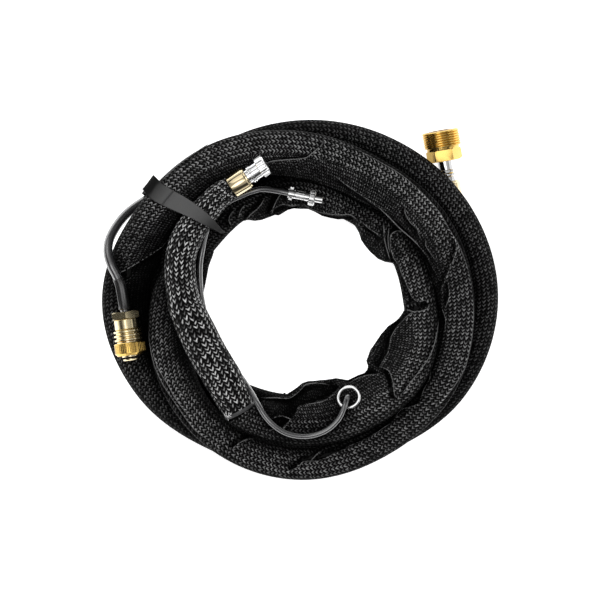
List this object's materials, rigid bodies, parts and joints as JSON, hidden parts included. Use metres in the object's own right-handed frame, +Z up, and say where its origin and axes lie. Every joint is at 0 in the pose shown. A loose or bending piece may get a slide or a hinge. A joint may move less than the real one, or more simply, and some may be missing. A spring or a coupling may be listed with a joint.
{
  "type": "tig torch hose assembly",
  "caption": "Coiled hose assembly of a modular TIG torch: woven cover over power hose, gas hose and control cable, with threaded, gas and plug fittings and a hook-and-loop tie.",
  "frame": {"origin": "on the floor under the middle of the coil's bounding box", "axes": "+Z up from the floor the coil lies on, +X along the coil's longer side, +Y across it; the torch end leaves at the -X +Y side and the machine end at the +X +Y side"},
  "size_m": [0.4362, 0.396, 0.099],
  "materials": {
    "cover_weave": "woven polyester, matt",
    "power_hose_rubber": "matt",
    "gas_hose_rubber": "satin",
    "inner_cable_jacket": "satin",
    "end_plug_rubber": "matt",
    "braid_monofilament": "glossy monofilament braid",
    "band_plastic": "satin",
    "torch_ferrule_brass": "polished, pale",
    "torch_nipple_nickel": "polished nickel",
    "torch_seal_rubber": "matt",
    "torch_nut_nickel": "polished nickel",
    "eyelet_nickel": "polished nickel",
    "control_cable_jacket": "glossy",
    "plug_body_nickel": "satin nickel",
    "plug_saddle_nickel": "satin nickel",
    "plug_screw_steel": "zinc plated",
    "plug_barrel_nickel": "satin nickel",
    "plug_insert_plastic": "matt",
    "plug_contact_gold": "gold plated",
    "plug_snap_steel": "spring steel",
    "plug_ring_nickel": "polished nickel",
    "gas_lead_rubber": "glossy",
    "heat_shrink": "semi-gloss",
    "back_nut_brass": "satin, pale",
    "collar_brass": "satin, pale",
    "coupling_brass": "satin, pale",
    "knurled_ring_brass": "satin, golden",
    "gas_snap_steel": "spring steel",
    "nose_seal_rubber": "matt",
    "machine_hose_rubber": "satin",
    "machine_ferrule_brass": "polished, pale",
    "machine_nipple_nickel": "satin nickel",
    "machine_seal_rubber": "matt",
    "union_brass": "turned",
    "tie_fabric": "hook and loop",
    "tie_end_fabric": "hook and loop"
  },
  "bodies": {
    "hose_pack": {"woven_cover": "cover_weave", "power_hose": "power_hose_rubber", "gas_hose": "gas_hose_rubber", "control_cable_inner": "inner_cable_jacket", "machine_end_plug": "end_plug_rubber", "torch_hose_braid": "braid_monofilament", "torch_end_band": "band_plastic", "torch_ferrule": "torch_ferrule_brass", "torch_nipple": "torch_nipple_nickel", "torch_seal": "torch_seal_rubber", "eyelet": "eyelet_nickel", "control_cable": "control_cable_jacket", "plug_body": "plug_body_nickel", "plug_saddle": "plug_saddle_nickel", "plug_saddle_screws": "plug_screw_steel", "plug_barrel": "plug_barrel_nickel", "plug_insert": "plug_insert_plastic", "plug_contacts": "plug_contact_gold", "plug_snap_ring": "plug_snap_steel", "gas_lead": "gas_lead_rubber", "gas_heat_shrink": "heat_shrink", "gas_back_nut": "back_nut_brass", "gas_split_collar": "collar_brass", "gas_coupling_body": "coupling_brass", "gas_snap_ring": "gas_snap_steel", "gas_nose_seal": "nose_seal_rubber", "machine_hose": "machine_hose_rubber", "machine_ferrule": "machine_ferrule_brass", "machine_nipple": "machine_nipple_nickel", "machine_seal": "machine_seal_rubber", "tie_strap": "tie_fabric", "tie_strap_end": "tie_end_fabric"},
    "torch_nut": {"torch_coupling_nut": "torch_nut_nickel"},
    "plug_ring": {"plug_coupling_ring": "plug_ring_nickel"},
    "gas_ring": {"gas_knurled_ring": "knurled_ring_brass"},
    "union": {"machine_union": "union_brass"}
  },
  "joints": [
    {"name": "torch_nut_spin", "type": "hinge", "parent": "hose_pack", "child": "torch_nut", "pos_m": [-0.0466, 0.14323, 0.07203], "axis": [0.8229, 0.555, 0.1219], "continuous": true},
    {"name": "plug_ring_spin", "type": "hinge", "parent": "hose_pack", "child": "plug_ring", "pos_m": [0.01311, 0.11259, 0.04426], "axis": [0.9816, -0.1908, 0], "continuous": true},
    {"name": "gas_ring_spin", "type": "hinge", "parent": "hose_pack", "child": "gas_ring", "pos_m": [-0.18672, -0.05329, 0.04494], "axis": [0.1409, -0.99, 0], "continuous": true},
    {"name": "machine_union_spin", "type": "hinge", "parent": "hose_pack", "child": "union", "pos_m": [0.15872, 0.1586, 0.02092], "axis": [-0.1735, 0.9841, 0.0384], "continuous": true}
  ]
}
